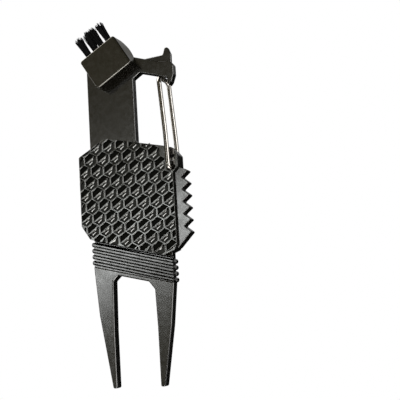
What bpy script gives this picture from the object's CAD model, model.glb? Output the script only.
"""The looks of a divot repair tool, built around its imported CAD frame.

Shapes are drawn in millimetres from the centre of the marker seat: X towards the comb, -Y the honeycomb
side, +Y the marker side and Z towards the brush. Each piece is then carried into the frame, in metres.
"""

import math
import random

import bpy
from mathutils import Matrix, Vector


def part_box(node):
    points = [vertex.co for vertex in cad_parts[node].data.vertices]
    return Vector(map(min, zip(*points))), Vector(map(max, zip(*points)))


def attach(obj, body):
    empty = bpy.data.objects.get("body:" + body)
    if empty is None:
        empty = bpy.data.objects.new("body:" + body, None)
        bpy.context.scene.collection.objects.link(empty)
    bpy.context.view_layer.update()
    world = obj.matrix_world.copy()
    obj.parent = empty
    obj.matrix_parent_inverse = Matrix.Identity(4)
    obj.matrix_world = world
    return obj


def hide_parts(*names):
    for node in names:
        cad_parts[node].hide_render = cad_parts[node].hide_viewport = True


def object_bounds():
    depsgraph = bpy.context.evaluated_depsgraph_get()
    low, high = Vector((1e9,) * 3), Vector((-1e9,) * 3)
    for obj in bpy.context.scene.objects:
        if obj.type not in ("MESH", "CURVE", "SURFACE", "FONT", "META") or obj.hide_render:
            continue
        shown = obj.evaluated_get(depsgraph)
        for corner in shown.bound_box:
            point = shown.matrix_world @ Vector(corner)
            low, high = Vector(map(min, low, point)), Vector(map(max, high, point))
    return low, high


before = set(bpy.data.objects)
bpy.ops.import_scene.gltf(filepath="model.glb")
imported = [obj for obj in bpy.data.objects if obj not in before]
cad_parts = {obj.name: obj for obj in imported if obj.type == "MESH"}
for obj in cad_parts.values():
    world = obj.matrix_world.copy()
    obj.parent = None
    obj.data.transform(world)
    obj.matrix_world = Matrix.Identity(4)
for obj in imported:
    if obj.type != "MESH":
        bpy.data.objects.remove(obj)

CAD_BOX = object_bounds()

# ---------------- driving dimensions, in millimetres

MM = 0.001
GAP = 0.06  # between bonded or seated pieces

# faces through the thickness, as Y values
BACK_Y = 1.5
NECK_FRONT_Y = -0.9
BASE_FRONT_Y = -2.1
PLATE_FRONT_Y = -3.25
COMB_BACK_Y = 1.1
FORK_HALF_T = 1.5
RIB_CORE_HALF_T = 1.2
RIB_HALF_T = 1.9
SPIKE_HALF_T = 0.6
BRUSH_FRONT_Y = -5.1

# outlines: x, z and corner radius, anticlockwise as seen from the front
GRIP_LOWER_CORNERS = [
    (-11.95, 10.65, 0.6),
    (-11.95, -7.3, 0.5),
    (-9.7, -10.85, 0.5),
    (9.9, -16.35, 0.5),
    (12.9, -15.2, 0.4),
    (13.5, -13.9, 0.5),
]
LUG_CORNERS = [  # round the gate's holes
    (13.5, 4.1, 0.3),
    (14.9, 5.5, 0.4),
    (14.9, 8.5, 0.6),
    (13.3, 10.6, 0.6),
]
GRIP_TOP_CORNER = (-4.4, 14.75, 0.5)
GRIP_CORNERS = [*GRIP_LOWER_CORNERS, *LUG_CORNERS, GRIP_TOP_CORNER]
CELL_FIELD_CORNERS = [*GRIP_LOWER_CORNERS, (13.5, 10.5, 0.5), GRIP_TOP_CORNER]
NECK_CORNERS = [
    (-9.7, 11.87, 1.1),
    *GRIP_LOWER_CORNERS,
    *LUG_CORNERS,
    (3.2, 12.97, 1.1),
    (3.2, 30.1, 0.4),
    (5.3, 31.45, 0.4),
    (11.6, 29.55, 0.4),
    (12.65, 29.1, 0.5),
    (12.55, 27.7, 0.3),
    (12.95, 27.0, 0.5),
    (13.7, 27.9, 0.8),
    (14.4, 29.8, 1.0),
    (14.4, 32.3, 0.8),
    (13.5, 33.4, 0.5),
    (10.5, 33.6, 1.0),
    (3.0, 36.05, 1.0),
    (-0.25, 40.65, 1.5),
    (-9.7, 35.0, 0.9),
]
SPIKE_CORNERS = [
    (5.9, 34.9, 0.3),
    (7.0, 33.6, 0.2),
    (13.8, 32.0, 0.2),
    (13.85, 35.3, 0.8),
    (13.15, 37.1, 0.6),
    (12.25, 37.1, 0.5),
    (11.65, 35.25, 0.6),
]
TIP_Z = -48.4
RIB_CORE_CORNERS = [
    (-9.7, -8.0, 0),
    (-9.75, -18.1, 0),
    (11.4, -23.6, 0),
    (11.55, -13.0, 0),
]
FORK_CORNERS = [
    (-9.78, -17.62, 0),
    (-9.8, -18.4, 0.5),
    (-8.9, -30.0, 8.0),
    (-6.05, TIP_Z, 0.45),
    (-5.0, TIP_Z, 0.45),
    (-5.0, -34.0, 6.0),
    (-4.7, -21.7, 0.5),
    (-3.3, -20.4, 0.5),
    (4.9, -22.5, 0.5),
    (6.4, -24.5, 0.5),
    (6.65, -34.0, 6.0),
    (6.65, TIP_Z, 0.45),
    (7.75, TIP_Z, 0.45),
    (10.3, -33.5, 8.0),
    (11.45, -23.6, 0.2),
    (11.5, -23.16, 0),
]
NECK_BEVEL = 0.22
GRIP_BEVEL = 0.08
FORK_BEVEL = 0.3
SPIKE_BEVEL = 0.2
COMB_BEVEL = 0.16

# comb and ribs
TOOTH_COUNT = 6
TOOTH_PITCH = 3.08
TOOTH_TOP_Z = 4.4
TOOTH_TIP_X = 17.1
TOOTH_ROOT_X = 15.2
RIB_COUNT = 4
RIB_PITCH = 1.54
RIB_HEIGHT = 1.24
RIB_LEFT_X = -10.3
RIB_RIGHT_X = 12.15
RIB_SLOPE = -0.26
RIB_TOP_Z = -14.75
RIB_CROWN = 0.3  # width of each rib's flat top; its sides slope down steeply from there
FIRST_GROOVE_W = 0.7  # of the V groove above the first rib
FIRST_GROOVE_DEPTH = 1.0

# honeycomb: a ridge crosses each cell, with a deep pocket above it and a trench with a short bar below it;
# the ridge's crest and the bar have facets that fall away to the lower right
CELL_PITCH = 3.5
CELL_WALL = 0.36
CELL_PHASE_Z = 0.45
CELL_TURN = math.radians(35)  # of the ridge
CELL_RIM = 0.1
LIP_WIDE = 0.16  # slope at the upper left sides of the pockets
LIP_NARROW = 0.04
LIP_DEPTH = 0.15
POCKET_DEPTH = 0.62
POCKET_TAPER = 0.05  # how far the floor draws in
TRENCH_DEPTH = 0.5
RIDGE_START = 0.1  # from the cell's left corner
RIDGE_HALF_END = 0.08
RIDGE_MIDDLE = (0.15, 0.4)  # along and across a cell: where the trench leaves the ridge widest
RIDGE_END = 0.8  # how far down the upper right side the ridge ends, as a share
FACET_SLOPE = 0.75
FACET_START = 0.03  # how far in front of the plate a facet starts
CREST = [  # the ridge's facet, along and across a cell
    (-1.4, -0.06),
    (-1.2, 0.1),
    (-0.35, 0.26),
    (0.15, 0.42),
    (0.7, 0.26),
    (1.15, 0.1),
    (1.25, -0.06),
]
BAR = [(-0.8, 0.7), (0.35, 0.7), (0.35, 0.81), (-0.55, 0.83), (-0.8, 0.95)]
SCRAP_WIDTH = 0.34  # narrower clipped pockets are left flush
SOOT = (0.035, 0.036, 0.031)  # the tone in the bottom of the honeycomb
SOOT_DEPTHS = (0.32, 0.58)  # below the plate's front: where the metal starts to darken, and is darkest

# marker seat, magnet and marker
SEAT_R = 12.85
SEAT_DEPTH = 1.7
SEAT_LIP = 0.16
RAMP_X = -6.4
RAMP_DROP = 0.8
MAGNET_R = 5.0
MAGNET_T = 1.25
MAGNET_POCKET_R = MAGNET_R + 0.1
MAGNET_POCKET_LIP = 0.12
MARKER_R = 12.5
MARKER_T = 1.5
MARKER_RIM = 0.7
ENAMEL_T = 0.3
SEAT_FLOOR_Y = BACK_Y - SEAT_DEPTH
MARKER_TOP_Y = SEAT_FLOOR_Y + GAP + MARKER_T

# wire gate
WIRE_R = 0.6
WIRE_CLEARANCE = 0.08
HOLE_X = 13.2
HOLE_LOW_Z = 5.3
HOLE_HIGH_Z = 8.0
HOLE_HALF_H = 0.8
HOLE_SLOT = 0.3
HOLE_LIP = 0.08
GATE_FRONT_Y = -3.97
GATE_BACK_Y = 2.22
GATE_TOP_Z = 28.6
GATE_TOP_FRONT_X = 11.45
GATE_TOP_BACK_X = 11.85
GATE_KNEE_Z = 13.5
GATE_BENDS = (0.3, 0.9, 2.5, 1.7, 1.7, 2.5, 0.9)  # where each bend starts, before its corner
GATE_SWING = math.radians(20)
POCKET_TOP_Z = 14.5
FRONT_POCKET_X = 13.0
FRONT_POCKET_LOW_Z = 5.6
FRONT_POCKET_R = 1.15
FRONT_POCKET_LEAN = 0.1
FRONT_POCKET_LIP = 0.14
FRONT_POCKET_MARGIN = 0.35  # plain metal round it
REAR_POCKET_R = 1.0
REAR_POCKET_LEAN = 0.5
REAR_POCKET_DEPTH = 0.8
REAR_POCKET_LIP = 0.12

# brush head, turned in the plane of the tool
HEAD_TURN = math.radians(31)
HEAD_CORNER = (-9.6, 35.28)
HEAD_W = 11.25
HEAD_H = 8.95
HEAD_BEVEL = 0.26
ARM_SIDE_BEVEL = 1.0  # how much wider the front bevel is there, as a share
HEAD_BOW = 0.75  # how far the arm side bows out at the back
HEAD_BOW_RUN = 0.7  # how far along the head the bow takes to die out
BRUSH_ALONG = 5.95  # middle of the brush, along the head
INSERT_W = 9.1
INSERT_T = 2.4
INSERT_H = 4.2
TUFT_COUNT = 4
TUFT_PLACES = (-3.3, -0.97, 0.97, 3.22)  # from the middle of the brush
TUFT_ROOT_R = 0.9
TUFT_LENGTH = 6.4
TUFT_LEAN = (-0.05, 0.3, -0.25, 0.1)  # how far each tuft leans along the head at its tips
TUFT_DEPTH = 2.4
TUFT_SHARES = (1.0, 1.0, 1.0, 0.955)  # of the full length
TUFT_SPLAY = (0.34, 0.35)  # how much bristles lean outwards, along the head and across it
TUFT_SCATTER = (0.14, 0.07)
BRISTLE_R = 0.085
BRISTLE_WEAR = 0.13  # the most that a bristle is shorter, as a share
BRISTLE_CURL = 1.4
CRIMP_RATE = 4.2
BRISTLES_PER_TUFT = 80
BRUSH_MIDDLE_Y = (BRUSH_FRONT_Y + NECK_FRONT_Y) / 2

# the emblem on the marker
POLE_X = 1.0  # the line between the pennant and the flagstick
POLE_GAP = 0.1  # on each side of that line
PENNANT_TIP = (-6.6, 4.6)

# camera
CAMERA_PLACE = (87.43, -213.71, -34.18)
CAMERA_HEADING = math.radians(17.714)  # turned left from +Y
CAMERA_RISE = math.radians(7.863)
CAMERA_ROLL = math.radians(-3.55)
CAMERA_LENS = 81.74

# the glow that the metal mirrors from the front
GLOW_CORE = math.radians(25)
GLOW_EDGE = math.radians(60)


def frame_origin():
    """Where the marker seat's centre lies in the frame, in metres."""
    marker_low, marker_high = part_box("marker_disc")
    middle = (marker_low + marker_high) / 2
    ribs_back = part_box("tool_body")[1].y
    return Vector((middle.x, ribs_back - RIB_HALF_T * MM, middle.z))


ORIGIN = frame_origin()
TO_FRAME = Matrix.Translation(ORIGIN) @ Matrix.Scale(MM, 4)

# ---------------- outlines


def sides_of(points):
    """The pairs of points that an outline's sides join."""
    return zip(points, points[1:] + points[:1])


def anticlockwise(points):
    """The same outline, running anticlockwise."""
    area = sum(a.x * b.y - b.x * a.y for a, b in sides_of(points))
    return points if area > 0 else points[::-1]


def rounded(corners, step=math.radians(9)):
    """Points round (x, z, radius) corners, each one rounded off with an arc."""
    points = []
    for i, (x, z, radius) in enumerate(corners):
        here = Vector((x, z))
        back = Vector(corners[i - 1][:2]) - here
        on = Vector(corners[(i + 1) % len(corners)][:2]) - here
        half = back.angle(on) / 2
        reach = min(radius / math.tan(half), 0.48 * back.length, 0.48 * on.length)
        if reach == 0:
            points.append(here)
            continue
        arc_radius = reach * math.tan(half)
        middle = (back.normalized() + on.normalized()).normalized()
        centre = here + middle * (arc_radius / math.sin(half))
        spoke = here + back.normalized() * reach - centre
        turn = math.pi - 2 * half
        left_turn = on.x * back.y - on.y * back.x > 0
        count = max(1, math.ceil(turn / step))
        for k in range(count + 1):
            angle = turn * k / count * (1 if left_turn else -1)
            points.append(centre + Matrix.Rotation(angle, 2) @ spoke)
    return anticlockwise(points)


def stadium(x0, z0, x1, z1, radius, arc_steps=12):
    """Two half circles joined by straight sides."""
    along = math.atan2(z1 - z0, x1 - x0)
    points = []
    for x, z, start in ((x0, z0, along + math.pi / 2), (x1, z1, along - math.pi / 2)):
        for k in range(arc_steps + 1):
            angle = start + math.pi * k / arc_steps
            points.append(Vector((x + radius * math.cos(angle), z + radius * math.sin(angle))))
    return points


def inset(points, distance):
    """An anticlockwise outline drawn in by a distance, or let out by a negative one."""
    moved = []
    for i, here in enumerate(points):
        before = (here - points[i - 1]).normalized()
        after = (points[(i + 1) % len(points)] - here).normalized()
        normals = Vector((-before.y - after.y, before.x + after.x))
        moved.append(here + normals * (distance / (1 + before.dot(after))))
    return moved


def clipped(points, edge_point, inward):
    """The part of an outline on the inward side of a line."""
    kept = []
    for a, b in sides_of(points):
        depth_a = (a - edge_point).dot(inward)
        depth_b = (b - edge_point).dot(inward)
        if depth_a >= 0:
            kept.append(a)
        if depth_a * depth_b < 0:
            kept.append(a.lerp(b, depth_a / (depth_a - depth_b)))
    return kept


def narrowest(points):
    """The least width of a small outline, over the directions of its edges."""
    least = math.inf
    for a, b in sides_of(points):
        along = (b - a).normalized()
        normal = Vector((-along.y, along.x))
        least = min(least, max((p - a).dot(normal) for p in points))
    return least


def without_repeats(points, within=0.03):
    """The outline without points that lie on top of each other."""
    return [p for i, p in enumerate(points) if (p - points[i - 1]).length > within]


def moved_sides(points, distance_of, nearly_straight=0.05):
    """An anticlockwise outline with each side moved out by distance_of(its outward direction)."""
    lines = []
    for a, b in sides_of(points):
        along = (b - a).normalized()
        outward = Vector((along.y, -along.x))
        lines.append((a + outward * distance_of(outward), along))
    corners = []
    for i, (foot, along) in enumerate(lines):
        other_foot, other_along = lines[i - 1]
        turn = other_along.x * along.y - other_along.y * along.x
        if abs(turn) < nearly_straight:
            corners.append(foot)
            continue
        step = foot - other_foot
        share = (step.x * along.y - step.y * along.x) / turn
        corners.append(other_foot + other_along * share)
    return corners


def keeps_its_sides(points, moved):
    """Whether no side of an outline turned round when it was moved."""
    return all((p - points[i - 1]).dot(moved[i] - moved[i - 1]) > 0 for i, p in enumerate(points))


def divided(points, run):
    """The outline with its long edges cut into equal parts."""
    finer = []
    for a, b in sides_of(points):
        parts = max(1, math.ceil((b - a).length / run))
        finer += [a.lerp(b, k / parts) for k in range(parts)]
    return finer


# ---------------- meshes


def loft(rings):
    """Vertices and faces of a skin over rings of equal length, closed with an end face at each end."""
    size = len(rings[0])
    vertices = [point for ring in rings for point in ring]
    faces = []
    for r in range(len(rings) - 1):
        low = r * size
        high = low + size
        for k in range(size):
            after = (k + 1) % size
            faces.append((low + k, low + after, high + after, high + k))
    faces.append(tuple(range(size))[::-1])
    faces.append(tuple(range(len(vertices) - size, len(vertices))))
    return vertices, faces


def joined(parts):
    """Several (vertices, faces) pairs as one."""
    vertices = []
    faces = []
    for part_vertices, part_faces in parts:
        start = len(vertices)
        vertices.extend(part_vertices)
        faces.extend(tuple(start + i for i in face) for face in part_faces)
    return vertices, faces


def layers(points, levels):
    """A loft of one outline over (y, inset) levels that run from front to back."""
    rings = [[(p.x, y, p.y) for p in inset(points, drawn_in)] for y, drawn_in in levels]
    return loft(rings)


def edge_levels(y, towards, bevel, steps=4):
    """(y, inset) levels of a rounded edge from the face at y; towards points into the piece."""
    levels = []
    for k in range(steps + 1):
        angle = math.pi / 2 * k / steps
        levels.append((y + towards * bevel * (1 - math.cos(angle)), bevel * (1 - math.sin(angle))))
    return levels


def plate(points, front, back, front_bevel, back_bevel):
    """A flat plate with rounded edges."""
    front_levels = edge_levels(front, 1, front_bevel) if front_bevel else [(front, 0)]
    back_levels = edge_levels(back, -1, back_bevel) if back_bevel else [(back, 0)]
    return layers(points, front_levels + back_levels[::-1])


def full_turn(count):
    """Angles spread evenly round a full turn."""
    return [2 * math.pi * k / count for k in range(count)]


def turned(profile, sides=96):
    """A closed body turned about the seat's axis, from (radius, y) pairs off that axis."""
    rings = []
    for radius, y in profile:
        rings.append([(radius * math.cos(a), y, radius * math.sin(a)) for a in full_turn(sides)])
    return loft(rings)


def swept(path, radius_at, sides):
    """A round bar along a path of points, with radius_at(share of the path)."""
    rings = []
    side = (path[1] - path[0]).orthogonal().normalized()
    for i, point in enumerate(path):
        ahead = path[min(i + 1, len(path) - 1)] - path[max(i - 1, 0)]
        ahead.normalize()
        side = (side - ahead * side.dot(ahead)).normalized()
        up = ahead.cross(side)
        radius = radius_at(i / (len(path) - 1))
        spokes = [side * math.cos(angle) + up * math.sin(angle) for angle in full_turn(sides)]
        rings.append([point + spoke * radius for spoke in spokes])
    return loft(rings)


def outwards(mesh):
    """Turns the faces of a closed skin outwards: its volume tells which way they face."""
    volume = 0
    mesh.calc_loop_triangles()
    for triangle in mesh.loop_triangles:
        a, b, c = (mesh.vertices[i].co for i in triangle.vertices)
        volume += a.dot(b.cross(c))
    if volume < 0:
        mesh.flip_normals()


def in_scene(name, data):
    """A new object for a mesh, lamp or camera, linked to the scene."""
    obj = bpy.data.objects.new(name, data)
    bpy.context.scene.collection.objects.link(obj)
    return obj


def mesh_object(name, shape):
    """A mesh object with its faces turned outwards."""
    vertices, faces = shape
    mesh = bpy.data.meshes.new(name)
    mesh.from_pydata([tuple(v) for v in vertices], [], faces)
    outwards(mesh)
    return in_scene(name, mesh)


def combine(obj, shape, operation):
    """Joins or cuts an object by a closed shape."""
    other = mesh_object("cutter", shape)
    modifier = obj.modifiers.new("combine", "BOOLEAN")
    modifier.operation = operation
    modifier.solver = "EXACT"
    modifier.object = other
    evaluated = obj.evaluated_get(bpy.context.evaluated_depsgraph_get())
    result = bpy.data.meshes.new_from_object(evaluated)
    obj.modifiers.clear()
    old = obj.data
    obj.data = result
    bpy.data.meshes.remove(old)
    other_mesh = other.data
    bpy.data.objects.remove(other)
    bpy.data.meshes.remove(other_mesh)


def settle(obj, material, body, nodes, crease=math.radians(38)):
    """Carries a finished piece into the frame, shades it and ties it to its body and CAD nodes."""
    obj.data.transform(TO_FRAME)
    obj.data.materials.append(material)
    obj.data.shade_smooth()
    obj.data.set_sharp_from_angle(angle=crease)
    weighted = obj.modifiers.new("flat_faces_first", "WEIGHTED_NORMAL")
    weighted.keep_sharp = True
    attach(obj, body)
    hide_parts(*nodes)


# ---------------- materials


def node(tree, kind, **settings):
    """A new shader node with its plain properties and input values set."""
    made = tree.nodes.new(kind)
    for name, value in settings.items():
        if hasattr(made, name):
            setattr(made, name, value)
        else:
            made.inputs[name.replace("_", " ")].default_value = value
    return made


def plug(output, target):
    """Links a node's output to another node's input."""
    output.id_data.links.new(output, target)


def noise(tree, coordinates, scale, detail=3.0, roughness=0.55):
    """Cloudy noise, in lumps per metre."""
    made = node(tree, "ShaderNodeTexNoise", Scale=scale, Detail=detail, Roughness=roughness)
    plug(coordinates, made.inputs["Vector"])
    return made.outputs["Fac"]


def ramp(tree, value, stops):
    """A colour ramp over (position, colour) stops; a colour is a grey number or an RGB triple."""
    made = node(tree, "ShaderNodeValToRGB")
    elements = made.color_ramp.elements
    while len(elements) < len(stops):
        elements.new(0.5)
    for element, (position, colour) in zip(elements, stops):
        rgb = (colour,) * 3 if isinstance(colour, (int, float)) else colour
        element.position = position
        element.color = (*rgb, 1)
    plug(value, made.inputs["Fac"])
    return made.outputs["Color"]


def spread(tree, value, low, high, from_low=0.3, from_high=0.7):
    """Maps a value to a range; the range it comes from suits noise."""
    made = node(tree, "ShaderNodeMapRange", From_Min=from_low, From_Max=from_high, To_Min=low, To_Max=high)
    plug(value, made.inputs["Value"])
    return made.outputs["Result"]


def bump(tree, height, strength, depth_mm, below=None):
    """A bumped normal, over the bumps below it if there are any."""
    made = node(tree, "ShaderNodeBump", Strength=strength, Distance=depth_mm * MM)
    plug(height, made.inputs["Height"])
    if below is not None:
        plug(below, made.inputs["Normal"])
    return made.outputs["Normal"]


def blend(tree, share, colour, far_colour):
    """A colour that turns into another as the share goes from 0 to 1."""
    made = node(tree, "ShaderNodeMix", data_type="RGBA")
    plug(share, made.inputs["Factor"])
    plug(colour, made.inputs[6])
    made.inputs[7].default_value = (*far_colour, 1)
    return made.outputs[2]


def new_material(name):
    """A material with its nodes and its object coordinates."""
    material = bpy.data.materials.new(name)
    material.use_nodes = True
    tree = material.node_tree
    return material, tree, tree.nodes.new("ShaderNodeTexCoord").outputs["Object"]


def surface(material, tone, gloss, normal=None, metallic=1.0):
    """The material with a colour, a roughness and a bumped normal plugged into its shader."""
    tree = material.node_tree
    shader = tree.nodes["Principled BSDF"]
    plug(tone, shader.inputs["Base Color"])
    plug(gloss, shader.inputs["Roughness"])
    if normal is not None:
        plug(normal, shader.inputs["Normal"])
    shader.inputs["Metallic"].default_value = metallic
    return material


def gunmetal(name, dark, light, rough_low, rough_high, sunk=None):
    """Satin black nickel over a die casting: faint cloudy tone, fine blasted grain, varied gloss.

    With sunk=(y, y), in millimetres, the metal turns matt and nearly black between those depths.
    """
    material, tree, where = new_material(name)
    clouds = noise(tree, where, 420, 6, 0.68)
    mottle = noise(tree, where, 900, 3)
    grain = noise(tree, where, 5200, 2)
    tone = ramp(tree, clouds, [(0.3, dark), (0.72, light)])
    gloss = spread(tree, mottle, rough_low, rough_high)
    if sunk is not None:
        parts = node(tree, "ShaderNodeSeparateXYZ")
        plug(where, parts.inputs["Vector"])
        start, end = (ORIGIN.y + y * MM for y in sunk)
        depth = spread(tree, parts.outputs["Y"], 0.0, 1.0, start, end)
        tone = blend(tree, depth, tone, SOOT)
        gloss = spread(tree, depth, rough_low, 0.6, 0.0, 1.0)
    soft = bump(tree, mottle, 0.1, 0.004)
    return surface(material, tone, gloss, bump(tree, grain, 0.04, 0.0008, soft))


def polished_steel():
    """Drawn spring wire: bright, with faint lengthwise marks and a few dull patches."""
    material, tree, where = new_material("polished_spring_wire")
    drawn = node(tree, "ShaderNodeMapping", Scale=(9000, 9000, 500))
    plug(where, drawn.inputs["Vector"])
    marks = noise(tree, drawn.outputs["Vector"], 1, 3)
    patches = noise(tree, where, 700, 3)
    tone = ramp(tree, patches, [(0.35, (0.62, 0.58, 0.53)), (0.65, (0.82, 0.79, 0.74))])
    return surface(material, tone, spread(tree, marks, 0.1, 0.2), bump(tree, marks, 0.05, 0.002))


def magnet_nickel():
    """Nickel plating over sintered grain: bright mottled flakes with dark pits."""
    material, tree, where = new_material("mottled_magnet_nickel")
    flakes = noise(tree, where, 2400, 5, 0.7)
    pits = noise(tree, where, 5200, 3, 0.6)
    stops = [(0.36, (0.2, 0.19, 0.16)), (0.5, (0.62, 0.6, 0.54)), (0.66, (0.9, 0.88, 0.83))]
    tone = ramp(tree, flakes, stops)
    coarse = bump(tree, flakes, 0.5, 0.05)
    return surface(material, tone, spread(tree, pits, 0.22, 0.5), bump(tree, pits, 0.4, 0.02, coarse))


def coated(name, tone_noise, stops, gloss_noise, rough, bumps=None, metallic=1.0, shine=0.5):
    """A material whose colour follows one noise, and whose gloss and bumps follow another."""
    material, tree, where = new_material(name)
    tone = ramp(tree, noise(tree, where, *tone_noise), stops)
    fine = noise(tree, where, *gloss_noise)
    normal = None if bumps is None else bump(tree, fine, *bumps)
    tree.nodes["Principled BSDF"].inputs["Specular IOR Level"].default_value = shine
    return surface(material, tone, spread(tree, fine, *rough), normal, metallic)


def marker_steel():
    """Dark nickel on a turned rim, with fine turning marks."""
    stops = [(0.3, (0.3, 0.29, 0.28)), (0.7, (0.42, 0.41, 0.39))]
    return coated("marker_dark_nickel", (500, 3), stops, (6000, 2), (0.2, 0.34), (0.15, 0.01))


def enamel(name, low, high):
    """Soft enamel: even colour with faint flow marks and a slightly wavy gloss."""
    stops = [(0.3, low), (0.7, high)]
    return coated(name, (420, 4), stops, (1800, 2), (0.28, 0.42), (0.1, 0.02), 0.0)


def pennant_enamel():
    """Orange enamel that warms to yellow towards the flagstick."""
    material, tree, where = new_material("orange_pennant_enamel")
    parts = node(tree, "ShaderNodeSeparateXYZ")
    plug(where, parts.inputs["Vector"])
    tip, pole = (ORIGIN.x + x * MM for x in (PENNANT_TIP[0], POLE_X))
    warmth = spread(tree, parts.outputs["X"], 0.0, 1.0, tip, pole)
    stops = [(0.0, (0.95, 0.08, 0.02)), (0.45, (1.0, 0.16, 0.03)), (1.0, (1.0, 0.42, 0.05))]
    wave = noise(tree, where, 1800, 2)
    return surface(material, ramp(tree, warmth, stops), spread(tree, wave, 0.25, 0.4), metallic=0.0)


def nylon(name, low, high, rough, shine=0.5):
    """Black nylon or moulded plastic with a fine uneven surface."""
    speckle = (3800, 3)
    return coated(name, speckle, [(0.3, low), (0.7, high)], speckle, rough, (0.2, 0.015), 0.0, shine)


def brass():
    """Flat brass anchors, slightly tarnished."""
    stain = (3000, 4)
    stops = [(0.35, (0.42, 0.3, 0.12)), (0.65, (0.75, 0.58, 0.28))]
    return coated("tarnished_brass", stain, stops, stain, (0.25, 0.5))


CASTING_METAL = gunmetal("gunmetal_casting", (0.2, 0.197, 0.19), (0.265, 0.261, 0.254), 0.15, 0.21)
PLATE_METAL = gunmetal(
    "gunmetal_honeycomb",
    (0.2, 0.199, 0.188),
    (0.265, 0.263, 0.25),
    0.15,
    0.22,
    sunk=[PLATE_FRONT_Y + depth for depth in SOOT_DEPTHS],
)
HOUSING_METAL = gunmetal("gunmetal_brush_housing", (0.215, 0.206, 0.18), (0.25, 0.24, 0.215), 0.16, 0.22)

# ---------------- casting


def tooth_corners():
    """The comb: its back edge lies inside the grip, its teeth point out."""
    corners = [(12.5, 5.0, 0), (12.5, -14.75, 0), (13.45, -14.75, 0.2)]
    for i in reversed(range(TOOTH_COUNT)):
        tip_z = TOOTH_TOP_Z - i * TOOTH_PITCH
        corners.append((TOOTH_TIP_X, tip_z, 0.3))
        if i > 0:
            corners.append((TOOTH_ROOT_X, tip_z + TOOTH_PITCH / 2, 0.22))
    corners.append((15.0, 5.35, 0.2))
    return corners


def rib(i):
    """One of the slanted ribs below the grip."""
    half = RIB_HEIGHT / 2
    middle = RIB_TOP_Z - i * RIB_PITCH
    left_z = middle + RIB_SLOPE * RIB_LEFT_X
    right_z = middle + RIB_SLOPE * RIB_RIGHT_X
    bar = stadium(RIB_LEFT_X + half, left_z, RIB_RIGHT_X - half, right_z, half)
    slope = half - RIB_CROWN / 2
    side = [(RIB_CORE_HALF_T - 0.1, 0), (RIB_HALF_T - 0.05, 0.94 * slope), (RIB_HALF_T, slope)]
    return layers(bar, [(-y, drawn_in) for y, drawn_in in side[::-1]] + side)


def first_groove_cutter():
    """A V groove between the grip's lower edge and the first rib, along the front."""
    middle = RIB_TOP_Z + RIB_HEIGHT / 2 + FIRST_GROOVE_W / 2
    left_x = RIB_LEFT_X - 1
    right_x = RIB_RIGHT_X + 1
    left_z = middle + RIB_SLOPE * left_x
    right_z = middle + RIB_SLOPE * right_x
    line = stadium(left_x, left_z, right_x, right_z, FIRST_GROOVE_W / 2, 4)
    mouth_y = -RIB_CORE_HALF_T
    foot = (mouth_y + FIRST_GROOVE_DEPTH, FIRST_GROOVE_W / 2 - 0.03)
    return layers(line, [(BASE_FRONT_Y - 1, -0.01), (mouth_y, 0), foot])


def seat_cutter():
    """The marker seat with its softened rim, drawn from the floor out."""
    profile = [
        (SEAT_R - 0.1, SEAT_FLOOR_Y),
        (SEAT_R, SEAT_FLOOR_Y + 0.1),
        (SEAT_R, BACK_Y - SEAT_LIP),
        (SEAT_R + 0.3 * SEAT_LIP, BACK_Y - 0.4 * SEAT_LIP),
        (SEAT_R + SEAT_LIP, BACK_Y + 0.02),
        (SEAT_R + SEAT_LIP, BACK_Y + 1),
    ]
    return turned(profile, 128)


def magnet_cutter():
    wide = MAGNET_POCKET_R + MAGNET_POCKET_LIP
    profile = [
        (MAGNET_POCKET_R, SEAT_FLOOR_Y - MAGNET_T - GAP),
        (MAGNET_POCKET_R, SEAT_FLOOR_Y - MAGNET_POCKET_LIP),
        (wide, SEAT_FLOOR_Y + 0.01),
        (wide, SEAT_FLOOR_Y + 0.5),
    ]
    return turned(profile, 72)


def ramp_cutter():
    """A round-ended wedge that lets one edge of the marker tip down."""
    arc_steps = 40
    half_angle = math.acos(-RAMP_X / SEAT_R)
    outer = [math.pi - half_angle + 2 * half_angle * k / arc_steps for k in range(arc_steps + 1)]
    arc = [Vector(((SEAT_R - 0.05) * math.cos(a), (SEAT_R - 0.05) * math.sin(a))) for a in outer]
    low = [(p.x, SEAT_FLOOR_Y - RAMP_DROP * (RAMP_X - p.x) / (RAMP_X + SEAT_R), p.y) for p in arc]
    high = [(p.x, SEAT_FLOOR_Y + 0.4, p.y) for p in arc]
    return loft([high, low])


def hole_cutters():
    """The two slotted holes for the gate's ends, with softened mouths."""
    holes = []
    for z in (HOLE_LOW_Z, HOLE_HIGH_Z):
        slot = stadium(HOLE_X - HOLE_SLOT, z, HOLE_X + HOLE_SLOT, z, HOLE_HALF_H, 8)
        front = [(BASE_FRONT_Y - 1, -HOLE_LIP), (BASE_FRONT_Y, -HOLE_LIP), (BASE_FRONT_Y + HOLE_LIP, 0)]
        back = [(BACK_Y - HOLE_LIP, 0), (BACK_Y, -HOLE_LIP), (BACK_Y + 1, -HOLE_LIP)]
        holes.append(layers(slot, front + back))
    return joined(holes)


def rear_pocket_cutter():
    """The groove that the gate's rear leg drops into."""
    lip = REAR_POCKET_LIP
    floor_y = BACK_Y - REAR_POCKET_DEPTH
    groove = stadium(HOLE_X, HOLE_HIGH_Z, HOLE_X - REAR_POCKET_LEAN, POCKET_TOP_Z, REAR_POCKET_R)
    floor = [(floor_y, 0.1), (floor_y + lip, 0)]
    return layers(groove, floor + [(BACK_Y - lip, 0), (BACK_Y, -lip), (BACK_Y + 1, -lip)])


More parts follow.
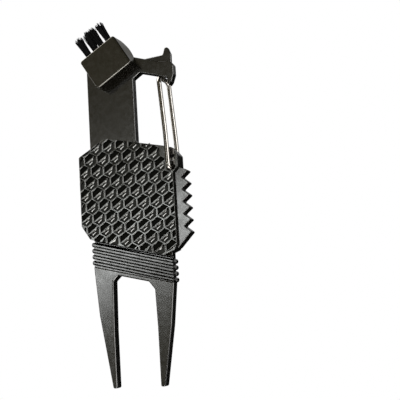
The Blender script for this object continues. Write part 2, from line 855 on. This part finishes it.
def build_casting():
    plates = (
        (NECK_CORNERS, NECK_FRONT_Y, BACK_Y, NECK_BEVEL),
        (GRIP_CORNERS, BASE_FRONT_Y, NECK_FRONT_Y + 0.6, 0),
        (SPIKE_CORNERS, -SPIKE_HALF_T, SPIKE_HALF_T, SPIKE_BEVEL),
        (RIB_CORE_CORNERS, -RIB_CORE_HALF_T, RIB_CORE_HALF_T, 0.1),
        (FORK_CORNERS, -FORK_HALF_T, FORK_HALF_T - 0.01, FORK_BEVEL),
        (tooth_corners(), BASE_FRONT_Y + 0.01, COMB_BACK_Y, COMB_BEVEL),
    )
    solids = [plate(rounded(corners), front, back, bevel, bevel) for corners, front, back, bevel in plates]
    solids += [rib(i) for i in range(RIB_COUNT)]
    casting = mesh_object("casting", solids[0])
    for shape in solids[1:]:
        combine(casting, shape, "UNION")
    for cutter in (
        first_groove_cutter(),
        seat_cutter(),
        ramp_cutter(),
        magnet_cutter(),
        hole_cutters(),
        rear_pocket_cutter(),
    ):
        combine(casting, cutter, "DIFFERENCE")
    settle(casting, CASTING_METAL, "tool", ["tool_body"])


# ---------------- honeycomb plate


def cell_centres():
    """Every place of the honeycomb that can reach the plate."""
    row_step = CELL_PITCH * math.sqrt(3) / 2
    for row in range(-6, 6):
        for column in range(-5, 6):
            shift = 0 if row % 2 == 0 else 0.5
            yield Vector(((column + shift) * CELL_PITCH, CELL_PHASE_Z + row * row_step))


def kept_cell(points, centre):
    """A cell's outline trimmed to the plate inside its rim, and clear of the gate's pocket."""
    field = inset(rounded(CELL_FIELD_CORNERS, math.radians(30)), CELL_RIM)
    for a, b in sides_of(field):
        along = (b - a).normalized()
        points = clipped(points, a, Vector((-along.y, along.x)))
        if len(points) < 3:
            return []
    foot = Vector((FRONT_POCKET_X, max(FRONT_POCKET_LOW_Z, centre.y)))
    away = (centre - foot).normalized()
    return clipped(points, foot + away * (FRONT_POCKET_R + FRONT_POCKET_MARGIN), away)


def cell_axes():
    """The directions along a cell's ridge, and across it towards the lower right."""
    cosine = math.cos(CELL_TURN)
    sine = math.sin(CELL_TURN)
    return Vector((cosine, sine)), Vector((sine, -cosine))


def in_cell(centre, s, t):
    """A point of a cell from its distances along and across the ridge."""
    along, across = cell_axes()
    return centre + along * s + across * t


def pocket(points, depth, lip_width):
    """A cutter with a sloping lip, wider at its upper left sides, or None if the outline is too thin."""
    across = cell_axes()[1]

    def lip(share):
        def moved_by(outward):
            upper_left = outward.dot(across) < -0.2
            return share * (lip_width if upper_left else LIP_NARROW)

        return moved_by

    mouth = moved_sides(points, lip(1))
    floor = inset(points, POCKET_TAPER)
    if not keeps_its_sides(points, mouth) or not keeps_its_sides(points, floor):
        return None
    rings = [
        (PLATE_FRONT_Y - 0.5, mouth),
        (PLATE_FRONT_Y, mouth),
        (PLATE_FRONT_Y + 0.4 * LIP_DEPTH, moved_sides(points, lip(0.5))),
        (PLATE_FRONT_Y + LIP_DEPTH, points),
        (PLATE_FRONT_Y + depth, floor),
    ]
    return loft([[(p.x, y, p.y) for p in ring] for y, ring in rings])


def slanted(centre, corners, flat_y):
    """A prism over (along, across) corners: one end at flat_y, the other a facet that falls away."""
    first = min(t for s, t in corners)
    high = []
    low = []
    for s, t in corners:
        p = in_cell(centre, s, t)
        high.append((p.x, PLATE_FRONT_Y + FACET_SLOPE * (t - first) - FACET_START, p.y))
        low.append((p.x, flat_y, p.y))
    return loft([high, low])


def fits_whole(centre, corners):
    """Whether a crest or bar lies wholly inside the part of its cell that is kept."""
    kept = kept_cell([in_cell(centre, s, t) for s, t in corners], centre)
    return len(kept) == len(corners)


def cell_features():
    """The honeycomb's pockets, trenches, crests and bars, each kind as one shape."""
    pockets, trenches, crests, bars = [], [], [], []
    radius = (CELL_PITCH - CELL_WALL) / math.sqrt(3)
    angles = [math.radians(30 + 60 * k) for k in range(6)]
    spokes = [Vector((math.cos(angle), math.sin(angle))) * radius for angle in angles]
    along, across = cell_axes()
    for centre in cell_centres():
        if centre.x > FRONT_POCKET_X - FRONT_POCKET_R and centre.y > FRONT_POCKET_LOW_Z:
            continue
        right, top, upper_left, left, foot, lower_right = [centre + spoke for spoke in spokes]
        start = left + along * RIDGE_START
        end = top.lerp(right, RIDGE_END)
        edge = across * RIDGE_HALF_END
        upper = [start - edge, end - edge, top, upper_left]
        lower = [start + edge, foot, lower_right, right, end + edge, in_cell(centre, *RIDGE_MIDDLE)]
        for half, target, depth, lip_width in (
            (upper, pockets, POCKET_DEPTH, LIP_WIDE),
            (lower, trenches, TRENCH_DEPTH, LIP_NARROW),
        ):
            points = without_repeats(kept_cell(anticlockwise(half), centre))
            if len(points) < 3 or narrowest(points) < SCRAP_WIDTH:
                continue
            cutter = pocket(points, depth, lip_width)
            if cutter is not None:
                target.append(cutter)
        if fits_whole(centre, CREST):
            crests.append(slanted(centre, CREST, PLATE_FRONT_Y - 0.5))
        if fits_whole(centre, BAR):
            bars.append(slanted(centre, BAR, PLATE_FRONT_Y + TRENCH_DEPTH + 0.1))
    return joined(pockets), joined(trenches), joined(crests), joined(bars)


def foot_clearance_cutter():
    """Room in the front pocket's wall for the gate's foot, which swings out."""
    drop = (HOLE_HIGH_Z - HOLE_LOW_Z) / 2
    end_x = HOLE_X + drop * math.sin(GATE_SWING)
    end_z = HOLE_LOW_Z + drop * (1 - math.cos(GATE_SWING))
    room = stadium(HOLE_X, HOLE_LOW_Z, end_x, end_z, WIRE_R + WIRE_CLEARANCE)
    return layers(room, [(PLATE_FRONT_Y - 1, 0), (BASE_FRONT_Y + 0.5, 0)])


def front_pocket_cutter():
    """The open pocket round both holes, where the gate's front leg turns in."""
    top_x = FRONT_POCKET_X - FRONT_POCKET_LEAN
    slot = stadium(FRONT_POCKET_X, FRONT_POCKET_LOW_Z, top_x, POCKET_TOP_Z, FRONT_POCKET_R)
    lip = FRONT_POCKET_LIP
    levels = [
        (PLATE_FRONT_Y - 1, -lip),
        (PLATE_FRONT_Y, -lip),
        (PLATE_FRONT_Y + 0.05, -0.05),
        (PLATE_FRONT_Y + lip, 0),
        (BASE_FRONT_Y + 0.5, 0),
    ]
    return layers(slot, levels)


def build_grip_plate():
    shape = plate(rounded(GRIP_CORNERS), PLATE_FRONT_Y, BASE_FRONT_Y - GAP, GRIP_BEVEL, 0)
    grip = mesh_object("honeycomb_plate", shape)
    combine(grip, front_pocket_cutter(), "DIFFERENCE")
    combine(grip, foot_clearance_cutter(), "DIFFERENCE")
    pockets, trenches, crests, bars = cell_features()
    combine(grip, pockets, "DIFFERENCE")
    combine(grip, trenches, "DIFFERENCE")
    combine(grip, bars, "UNION")
    combine(grip, crests, "DIFFERENCE")
    settle(grip, PLATE_METAL, "tool", ["grip_plate"])


# ---------------- brush


def on_head(along, out, y):
    """A point in the brush head's turned axes: along the head, then out through its brush side."""
    x = HEAD_CORNER[0] + along * math.cos(HEAD_TURN) - out * math.sin(HEAD_TURN)
    z = HEAD_CORNER[1] + along * math.sin(HEAD_TURN) + out * math.cos(HEAD_TURN)
    return Vector((x, y, z))


def head_box(along_low, along_high, out_low, out_high, levels, radius, run=None):
    """A block in the head's axes with rounded corners, over (y, inset) levels.

    With a run, its long edges are divided and those towards the arm are bevelled more widely.
    """
    corners = [
        (along_low, out_low, radius),
        (along_high, out_low, radius),
        (along_high, out_high, radius),
        (along_low, out_high, radius),
    ]
    outline = rounded(corners) if run is None else divided(rounded(corners), run)
    rings = []
    for y, drawn_in in levels:

        def moved_by(outward):
            return -drawn_in * (1 + ARM_SIDE_BEVEL * max(0.0, outward.x) ** 4)

        ring = inset(outline, drawn_in) if run is None else moved_sides(outline, moved_by)
        rings.append([on_head(p.x, p.y, y) for p in ring])
    return loft(rings)


def bowed(vertices, front, depth):
    """The head's vertices with its arm side bowed out, more so the further back from the front."""
    axis_along = Vector((math.cos(HEAD_TURN), 0, math.sin(HEAD_TURN)))
    axis_out = Vector((-math.sin(HEAD_TURN), 0, math.cos(HEAD_TURN)))
    corner = on_head(0, 0, 0)
    moved = []
    for vertex in vertices:
        along = (vertex - corner).dot(axis_along)
        out = (vertex - corner).dot(axis_out)
        deep = min(1.0, max(0.0, (vertex.y - front) / depth))
        share = max(0.0, (along - HEAD_W + HEAD_BOW_RUN) / HEAD_BOW_RUN)
        crown = math.sin(math.pi * min(1.0, max(0.0, -out / HEAD_H)))
        moved.append(vertex + axis_along * (HEAD_BOW * deep * share * crown))
    return moved


def build_housing():
    back = NECK_FRONT_Y - GAP
    front = BRUSH_FRONT_Y + HEAD_BEVEL
    depth = back - front
    body_steps = 8
    levels = edge_levels(BRUSH_FRONT_Y, 1, HEAD_BEVEL, 6)
    levels += [(front + depth * k / body_steps, 0) for k in range(1, body_steps)]
    levels.append((back, 0))
    vertices, faces = head_box(0, HEAD_W, -HEAD_H, 0, levels, 0.7, 0.6)
    housing = mesh_object("brush_head_housing", (bowed(vertices, front, depth), faces))
    clear = 0.08
    low = BRUSH_ALONG - INSERT_W / 2 - clear
    high = BRUSH_ALONG + INSERT_W / 2 + clear
    y_front = BRUSH_MIDDLE_Y - INSERT_T / 2 - clear
    y_back = BRUSH_MIDDLE_Y + INSERT_T / 2 + clear
    mouth = head_box(low, high, -INSERT_H - clear, 1, [(y_front, 0), (y_back, 0)], 0.25)
    combine(housing, mouth, "DIFFERENCE")
    settle(housing, HOUSING_METAL, "tool", ["brush_housing"])


def tuft_along(i):
    return BRUSH_ALONG + TUFT_PLACES[i]


def build_insert(material):
    """The moulded block that holds the tufts, with a softened top edge and a hole for each tuft."""
    half = INSERT_T / 2
    low = BRUSH_ALONG - INSERT_W / 2
    high = BRUSH_ALONG + INSERT_W / 2
    levels = edge_levels(BRUSH_MIDDLE_Y - half, 1, 0.15)
    levels += edge_levels(BRUSH_MIDDLE_Y + half, -1, 0.15)[::-1]
    insert = mesh_object("bristle_block", head_box(low, high, -INSERT_H, -0.12, levels, 0.22))
    for i in range(TUFT_COUNT):
        start = on_head(tuft_along(i), -TUFT_DEPTH - 0.9, BRUSH_MIDDLE_Y)
        end = on_head(tuft_along(i), 0.8, BRUSH_MIDDLE_Y)
        combine(insert, swept([start, end], lambda share: TUFT_ROOT_R + 0.1, 24), "DIFFERENCE")
    settle(insert, material, "tool", ["brush_insert"])


def bristle(rng, i):
    """One nylon filament: rooted in its hole, leaning outwards, with a faint crimp and a worn tip."""
    angle = rng.uniform(0, 2 * math.pi)
    reach = math.sqrt(rng.random())
    root_along = reach * math.cos(angle) * (TUFT_ROOT_R - BRISTLE_R)
    root_y = reach * math.sin(angle) * (TUFT_ROOT_R - BRISTLE_R)
    lean_along = TUFT_LEAN[i] + root_along * TUFT_SPLAY[0] + rng.gauss(0, TUFT_SCATTER[0])
    lean_y = root_y * TUFT_SPLAY[1] + rng.gauss(0, TUFT_SCATTER[1])
    length = TUFT_LENGTH * (1 - BRISTLE_WEAR * rng.random() ** 2) * TUFT_SHARES[i]
    phase = rng.uniform(0, 2 * math.pi)
    crimp = rng.uniform(0.01, 0.03)
    path = []
    steps = 12
    for k in range(steps + 1):
        out = -TUFT_DEPTH + (length + TUFT_DEPTH) * k / steps
        free = max(0.0, out / length)
        curl = free**BRISTLE_CURL
        wave = crimp * math.sin(phase + out * CRIMP_RATE) * min(1.0, free * 4)
        along = tuft_along(i) + root_along + lean_along * curl + wave
        path.append(on_head(along, out, BRUSH_MIDDLE_Y + root_y + lean_y * curl + 0.7 * wave))
    return swept(path, lambda share: BRISTLE_R * (1 if share < 0.96 else 0.7), 6)


def build_tufts(material):
    for i in range(TUFT_COUNT):
        rng = random.Random(31 + i)
        filaments = [bristle(rng, i) for _ in range(BRISTLES_PER_TUFT)]
        tuft = mesh_object(f"nylon_tuft_{i + 1}", joined(filaments))
        settle(tuft, material, "tool", [f"bristle_tuft_{i + 1}"], math.radians(80))


# ---------------- gate


def bent_path(points, bends, arc_steps=10):
    """A path of straight runs joined by smooth bends, each from a given distance before its corner."""
    path = [points[0]]
    for before, here, after, bend in zip(points, points[1:], points[2:], bends):
        start = here + (before - here).normalized() * bend
        end = here + (after - here).normalized() * bend
        for k in range(arc_steps + 1):
            t = k / arc_steps
            path.append(start.lerp(here, t).lerp(here.lerp(end, t), t))
    path.append(points[-1])
    return path


def build_gate():
    """One bent wire: from the low hole up the front, under the arm and down to the high hole."""
    corners = [
        (HOLE_X, BASE_FRONT_Y + 1, HOLE_LOW_Z),
        (HOLE_X, BASE_FRONT_Y, HOLE_LOW_Z),
        (HOLE_X - 0.5, GATE_FRONT_Y, HOLE_LOW_Z),
        (HOLE_X - 0.75, GATE_FRONT_Y, GATE_KNEE_Z),
        (GATE_TOP_FRONT_X, GATE_FRONT_Y, GATE_TOP_Z),
        (GATE_TOP_BACK_X, GATE_BACK_Y, GATE_TOP_Z),
        (HOLE_X - 0.3, GATE_BACK_Y, GATE_KNEE_Z),
        (HOLE_X, GATE_BACK_Y, HOLE_HIGH_Z),
        (HOLE_X, BACK_Y - 1.8, HOLE_HIGH_Z),
    ]
    path = bent_path([Vector(corner) for corner in corners], GATE_BENDS)
    wire = mesh_object("sprung_wire_gate", swept(path, lambda share: WIRE_R, 24))
    settle(wire, polished_steel(), "gate", ["gate_wire"])


# ---------------- magnet and marker


def arc_profile(radius, y, corner, towards, steps=5):
    """Profile points of a rounded rim, from the face at y to the side at the given radius."""
    return [(radius - drawn_in, level) for level, drawn_in in edge_levels(y, towards, corner, steps)]


def face_rings(radius, y, count=10):
    """Rings of a round face from near its centre outwards."""
    return [(radius * (k + 0.4) / count, y) for k in range(count)]


def build_magnet():
    foot = SEAT_FLOOR_Y - MAGNET_T - GAP / 2
    top = foot + MAGNET_T
    profile = [(0.05, foot)] + arc_profile(MAGNET_R, foot, 0.12, 1)
    profile += arc_profile(MAGNET_R, top, 0.3, -1)[::-1]
    profile += face_rings(MAGNET_R - 0.4, top)[::-1]
    magnet = mesh_object("pocket_magnet", turned(profile))
    settle(magnet, magnet_nickel(), "tool", ["magnet"])


def build_marker_disc():
    foot = SEAT_FLOOR_Y + GAP
    inner = MARKER_R - MARKER_RIM
    profile = [(0.05, foot)] + arc_profile(MARKER_R, foot, 0.2, 1)
    profile += arc_profile(MARKER_R, MARKER_TOP_Y, 0.28, -1)[::-1]
    profile += [(inner + 0.1, MARKER_TOP_Y), (inner, MARKER_TOP_Y - 0.1), (inner, MARKER_TOP_Y - ENAMEL_T)]
    profile += [(0.05, MARKER_TOP_Y - ENAMEL_T)]
    disc = mesh_object("ball_marker_disc", turned(profile, 128))
    settle(disc, marker_steel(), "marker", ["marker_disc"])


def curve(start, control, end, steps=16):
    """A quadratic curve's points, without its last one."""
    a, b, c = Vector(start), Vector(control), Vector(end)
    return [a.lerp(b, k / steps).lerp(b.lerp(c, k / steps), k / steps) for k in range(steps)]


def pennant_outline():
    top = (POLE_X - POLE_GAP, 7.6)
    bottom = (POLE_X - POLE_GAP, 2.2)
    points = curve(top, (-3.0, 7.2), PENNANT_TIP)
    points += curve(PENNANT_TIP, (-3.0, 3.4), bottom)
    points.append(Vector(bottom))
    return anticlockwise(points)


def flagstick_outline():
    left = POLE_X + POLE_GAP
    right = left + 0.8
    return rounded([(left, -4.1, 0), (right, -4.1, 0), (right, 8.4, 0.3), (left, 8.4, 0.3)])


def mound_outline():
    points = curve((-6.6, -6.6), (0.5, -2.4), (7.2, -6.6), 28)
    points.append(Vector((7.2, -6.6)))
    return anticlockwise(points)


def raised(points):
    """An enamel inlay with a softened top edge."""
    foot = MARKER_TOP_Y - ENAMEL_T + GAP / 2
    edge = [(MARKER_TOP_Y - 0.06, 0.02), (MARKER_TOP_Y - 0.02, 0.05), (MARKER_TOP_Y, 0.1)]
    return layers(points, [(foot, 0.02)] + edge)


def build_marker_face():
    foot = MARKER_TOP_Y - ENAMEL_T + GAP / 2
    top = MARKER_TOP_Y - GAP / 2
    radius = MARKER_R - MARKER_RIM - GAP
    profile = [(0.05, foot)] + arc_profile(radius, foot, 0.02, 1, 1)
    profile += [(radius, top - 0.06), (radius - 0.15, top - 0.02), (radius - 0.5, top)]
    profile += face_rings(radius - 1.0, top)[::-1]
    ground = mesh_object("slate_enamel_ground", turned(profile, 128))
    for shape in (pennant_outline(), flagstick_outline(), mound_outline()):
        cutter = layers(shape, [(foot - 1, -0.04), (top + 1, -0.04)])
        combine(ground, cutter, "DIFFERENCE")
    slate = enamel("slate_enamel", (0.075, 0.07, 0.088), (0.105, 0.098, 0.12))
    settle(ground, slate, "marker", ["marker_enamel"])
    amber = enamel("amber_enamel", (1.0, 0.3, 0.02), (1.0, 0.4, 0.03))
    white = enamel("white_enamel", (0.78, 0.77, 0.73), (0.88, 0.87, 0.84))
    for name, shape, material, slot in (
        ("pennant", pennant_outline(), pennant_enamel(), "marker_orange"),
        ("mound", mound_outline(), amber, "marker_amber"),
        ("flagstick", flagstick_outline(), white, "marker_white"),
    ):
        settle(mesh_object(f"{name}_inlay", raised(shape)), material, "marker", [f"marker_{name}"])


# ---------------- build the tool

build_casting()
build_grip_plate()
build_housing()
build_insert(nylon("moulded_black_plastic", (0.012, 0.012, 0.013), (0.028, 0.028, 0.03), (0.4, 0.6)))
build_tufts(nylon("black_nylon_bristle", (0.002, 0.002, 0.002), (0.005, 0.005, 0.006), (0.5, 0.7), 0.2))
build_gate()
build_magnet()
build_marker_disc()
build_marker_face()

ANCHOR_BRASS = brass()
for anchor in range(TUFT_COUNT):
    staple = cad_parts[f"tuft_staple_{anchor + 1}"]
    staple.data.materials.clear()
    staple.data.materials.append(ANCHOR_BRASS)

# ---------------- camera, floor and studio light


def build_camera():
    data = bpy.data.cameras.new("photo_camera")
    data.lens = CAMERA_LENS
    data.clip_start = 0.01
    camera = in_scene("photo_camera", data)
    level = Matrix.Rotation(math.pi / 2, 4, "X")
    turn = Matrix.Rotation(CAMERA_HEADING, 4, "Z") @ Matrix.Rotation(CAMERA_RISE, 4, "X") @ level
    roll = Matrix.Rotation(CAMERA_ROLL, 4, "Z")
    camera.matrix_world = Matrix.Translation(TO_FRAME @ Vector(CAMERA_PLACE)) @ turn @ roll
    bpy.context.scene.camera = camera


def build_floor():
    """A plain pale floor, a little below the fork's tips."""
    drop = 0.12
    radius = 1.2
    level = CAD_BOX[0][2] - drop
    data = bpy.data.meshes.new("floor")
    points = [(radius * math.cos(a), radius * math.sin(a), level) for a in full_turn(96)]
    data.from_pydata(points, [], [tuple(range(len(points)))])
    floor = in_scene("floor", data)
    material, tree, where = new_material("pale_floor")
    tone = ramp(tree, noise(tree, where, 3, 3), [(0.3, 0.93), (0.7, 0.95)])
    shader = tree.nodes["Principled BSDF"]
    plug(tone, shader.inputs["Base Color"])
    shader.inputs["Emission Strength"].default_value = 0.08
    shader.inputs["Roughness"].default_value = 0.9
    data.materials.append(material)
    floor.visible_glossy = False


def from_angles(left_of_front, up):
    """A direction by degrees to the left of -Y and degrees above level."""
    azimuth = math.radians(left_of_front)
    rise = math.radians(up)
    return (-math.sin(azimuth) * math.cos(rise), -math.cos(azimuth) * math.cos(rise), math.sin(rise))


def softbox(name, left_of_front, up, distance, size, radiance, colour=(1, 1, 1)):
    """A soft panel that faces the tool's middle; radiance is how bright it looks when mirrored."""
    width, height = size
    data = bpy.data.lights.new(name, "AREA")
    data.shape = "RECTANGLE"
    data.size = width
    data.size_y = height
    data.color = colour
    data.energy = radiance * math.pi * width * height
    lamp = in_scene(name, data)
    away = Vector(from_angles(left_of_front, up)).normalized()
    middle = (Vector(CAD_BOX[0]) + Vector(CAD_BOX[1])) / 2
    lamp.location = middle + away * distance
    lamp.rotation_euler = (-away).to_track_quat("-Z", "Y").to_euler()
    lamp.visible_camera = False
    return lamp


def build_lights():
    strip = softbox("front_strip", 22, 4.9, 1.2, (0.75, 0.067), 3.6, (0.93, 0.97, 1.0))
    strip.rotation_euler.rotate_axis("Z", math.radians(22))
    softbox("upper_left_key", 85, 50, 1.1, (1.0, 0.9), 3.0, (1.0, 0.99, 0.97))
    softbox("left_panel", 108, 6, 1.2, (0.6, 0.7), 1.6)
    softbox("lower_left_panel", 86, -38, 1.1, (0.5, 0.4), 1.2)
    softbox("right_panel", -70, 4, 1.2, (0.8, 0.8), 2.4)
    softbox("under_panel", -32, -58, 0.9, (0.7, 0.6), 3.6)
    softbox("back_panel", 178, 32, 1.2, (0.9, 0.8), 0.28)
    softbox("low_front_card", 46, -26, 1.2, (0.5, 0.4), 0.4)
    softbox("straight_front_card", -9, -5, 1.2, (0.26, 0.45), 0.5)
    softbox("right_card", -102, -3, 1.2, (0.4, 0.5), 0.5)
    softbox("low_back_card", -134, -14, 1.2, (0.6, 0.4), 0.7)
    softbox("upper_back_card", -136, 22, 1.2, (0.7, 0.4), 0.5)


def build_world():
    """White for the camera and soft light; in reflections, a dark studio with a dim warm glow."""
    world = bpy.data.worlds.new("studio")
    bpy.context.scene.world = world
    world.use_nodes = True
    tree = world.node_tree
    background = tree.nodes["Background"]
    output = tree.nodes["World Output"]
    where = tree.nodes.new("ShaderNodeTexCoord").outputs["Generated"]
    facing = node(tree, "ShaderNodeVectorMath", operation="DOT_PRODUCT")
    plug(where, facing.inputs[0])
    facing.inputs[1].default_value = from_angles(22, 12)
    share = spread(tree, facing.outputs["Value"], 0.0, 1.0, math.cos(GLOW_EDGE), math.cos(GLOW_CORE))
    tone = ramp(tree, share, [(0.0, (0.008, 0.008, 0.007)), (1.0, (0.08, 0.072, 0.049))])
    plug(tone, background.inputs["Color"])
    white = node(tree, "ShaderNodeBackground", Color=(1, 1, 1, 1))
    mix = node(tree, "ShaderNodeMixShader")
    path = tree.nodes.new("ShaderNodeLightPath")
    white_for = node(tree, "ShaderNodeMath", operation="MAXIMUM")
    plug(path.outputs["Is Camera Ray"], white_for.inputs[0])
    plug(path.outputs["Is Diffuse Ray"], white_for.inputs[1])
    plug(white_for.outputs["Value"], mix.inputs["Fac"])
    plug(background.outputs["Background"], mix.inputs[1])
    plug(white.outputs["Background"], mix.inputs[2])
    plug(mix.outputs["Shader"], output.inputs["Surface"])


build_camera()
build_floor()
build_lights()
build_world()
bpy.context.scene.view_settings.view_transform = "Standard"
